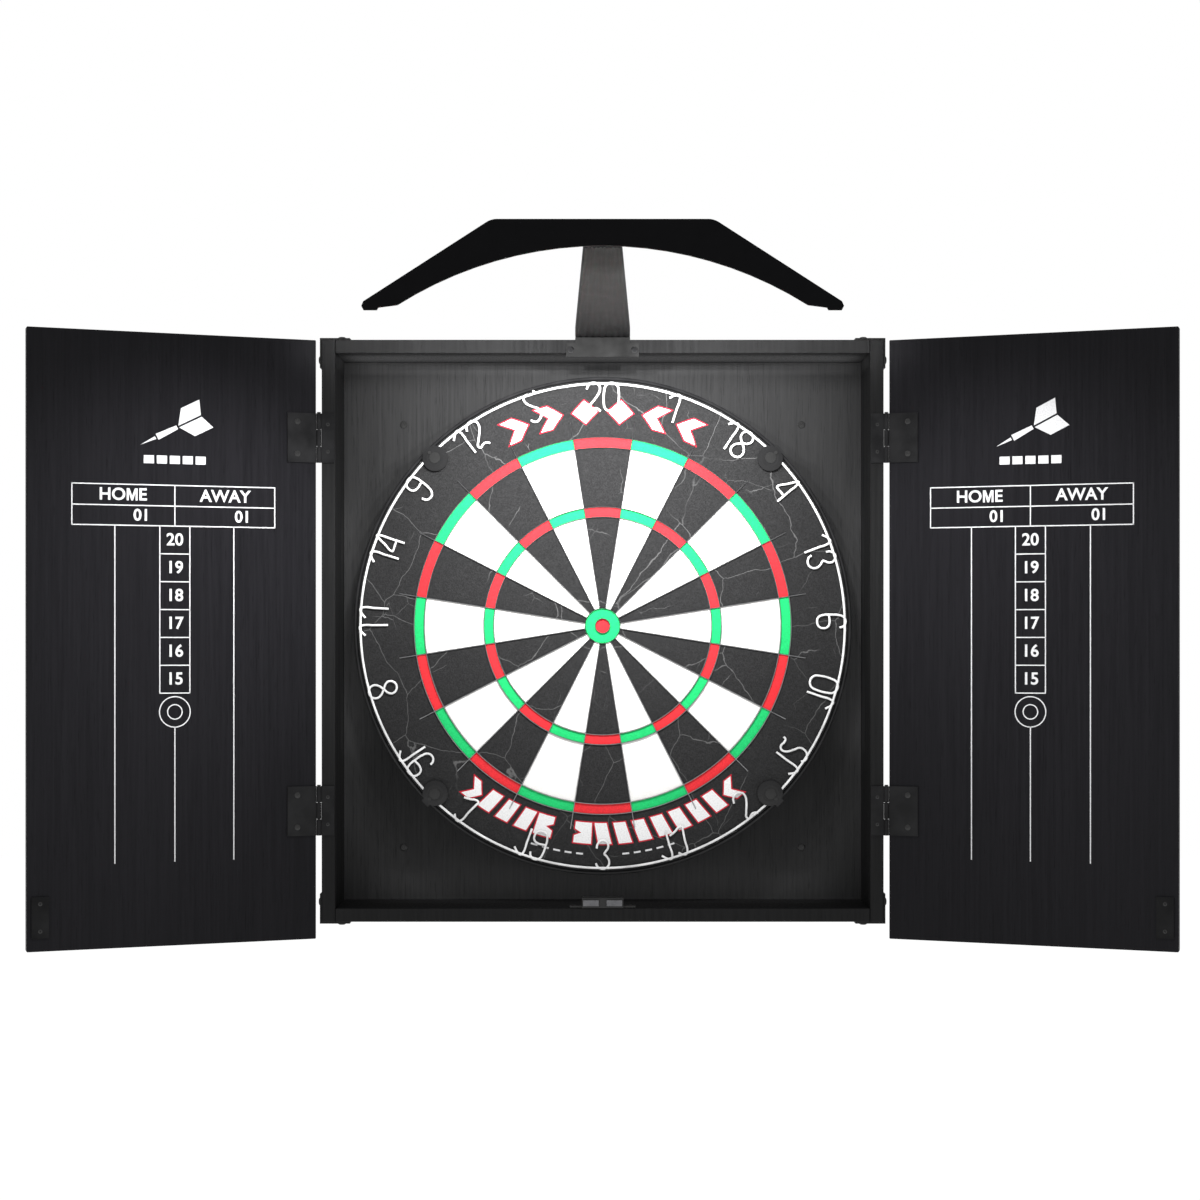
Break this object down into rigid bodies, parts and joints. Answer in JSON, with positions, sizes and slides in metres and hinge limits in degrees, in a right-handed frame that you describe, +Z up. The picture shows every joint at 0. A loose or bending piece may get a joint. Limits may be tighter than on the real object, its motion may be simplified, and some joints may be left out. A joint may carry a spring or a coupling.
{
  "type": "dart board cabinet",
  "caption": "Wall cabinet for a bristle dart board, with two swinging scoreboard doors, a turning board with a wire number ring, and an arched lamp on an arm.",
  "frame": {"origin": "centre of the cabinet's rear face, on the wall", "axes": "+X to the right seen from the front, +Y into the wall, +Z up; the front faces -Y"},
  "size_m": [0.9908, 0.374, 0.5838],
  "materials": {
    "case_board": "matt black laminate with a fine upright woodgrain",
    "back_sheet": "matt black faced fibreboard",
    "door_board": "matt black laminate with a fine upright woodgrain and a white printed scoreboard",
    "bracket_steel": "satin black powder coat",
    "screw_steel": "black oxide pan heads",
    "hinge_steel": "satin black",
    "strike_steel": "black plated sheet",
    "catch_plastic": "moulded black",
    "magnet_plate": "dull pole plates",
    "hanger_steel": "satin black",
    "backing_board": "raw pressed board",
    "sisal": "dyed compressed sisal in black, white, red and green beds",
    "rim_steel": "black band",
    "blade_wire": "thin dark blade wire",
    "bull_cup_steel": "thin steel cup",
    "bolt_steel": "zinc plated",
    "rubber": "soft black",
    "white_wire": "white coated wire",
    "clip_plastic": "moulded black",
    "lamp_black": "fine satin black",
    "lamp_channel": "black anodised",
    "diffuser": "translucent white",
    "arm_steel": "dark grey, ribbed lengthwise underneath",
    "foot_steel": "satin black",
    "foot_screw_steel": "bright pan heads"
  },
  "bodies": {
    "case": {"case_left": "case_board", "case_right": "case_board", "case_top": "case_board", "case_bottom": "case_board", "case_back": "back_sheet", "corner_bracket_top_left": "bracket_steel", "corner_bracket_top_right": "bracket_steel", "corner_bracket_bottom_left": "bracket_steel", "corner_bracket_bottom_right": "bracket_steel", "corner_screw_side_top_left": "screw_steel", "corner_screw_side_top_right": "screw_steel", "corner_screw_side_bottom_left": "screw_steel", "corner_screw_side_bottom_right": "screw_steel", "corner_screw_top_face_left": "screw_steel", "corner_screw_top_face_right": "screw_steel", "corner_screw_bottom_face_left": "screw_steel", "corner_screw_bottom_face_right": "screw_steel", "hinge_case_leaf_left_upper": "hinge_steel", "hinge_case_leaf_left_lower": "hinge_steel", "hinge_case_leaf_right_upper": "hinge_steel", "hinge_case_leaf_right_lower": "hinge_steel", "hinge_pin_left_upper": "hinge_steel", "hinge_pin_left_lower": "hinge_steel", "hinge_pin_right_upper": "hinge_steel", "hinge_pin_right_lower": "hinge_steel", "catch_housing": "catch_plastic", "catch_magnet_left": "magnet_plate", "catch_magnet_right": "magnet_plate", "hanger_bracket": "hanger_steel", "light_head_plate": "lamp_black", "light_power_socket": "lamp_black", "light_led_channel": "lamp_channel", "light_diffuser": "diffuser", "light_arm": "arm_steel", "light_foot": "foot_steel", "light_foot_screw_left": "foot_screw_steel", "light_foot_screw_right": "foot_screw_steel"},
    "door_left": {"door_left": "door_board", "hinge_door_leaf_left_upper": "hinge_steel", "hinge_door_leaf_left_lower": "hinge_steel", "strike_plate_left": "strike_steel"},
    "door_right": {"door_right": "door_board", "hinge_door_leaf_right_upper": "hinge_steel", "hinge_door_leaf_right_lower": "hinge_steel", "strike_plate_right": "strike_steel"},
    "board": {"board_backing": "backing_board", "sisal_face": "sisal", "rim_band": "rim_steel", "spider": "blade_wire", "bull_ring": "blade_wire", "bull_cup": "bull_cup_steel", "board_centre_bolt": "bolt_steel", "board_foot_1": "rubber", "board_foot_2": "rubber", "board_foot_3": "rubber"},
    "number_ring": {"number_ring": "white_wire", "ring_clip_upper_right": "clip_plastic", "ring_clip_upper_left": "clip_plastic", "ring_clip_lower_left": "clip_plastic", "ring_clip_lower_right": "clip_plastic"}
  },
  "joints": [
    {"name": "door_left_hinge", "type": "hinge", "parent": "case", "child": "door_left", "pos_m": [-0.2532, -0.07575, 0], "axis": [0, 0, 1], "range_deg": [-19.8, 160.2]},
    {"name": "door_right_hinge", "type": "hinge", "parent": "case", "child": "door_right", "pos_m": [0.2532, -0.07575, 0], "axis": [0, 0, -1], "range_deg": [-19.8, 160.2]},
    {"name": "board_turn", "type": "hinge", "parent": "case", "child": "board", "pos_m": [0, -0.03, 0.0046], "axis": [0, -1, 0], "continuous": true},
    {"name": "number_ring_turn", "type": "hinge", "parent": "board", "child": "number_ring", "pos_m": [0, -0.05, 0.0046], "axis": [0, -1, 0], "continuous": true}
  ]
}
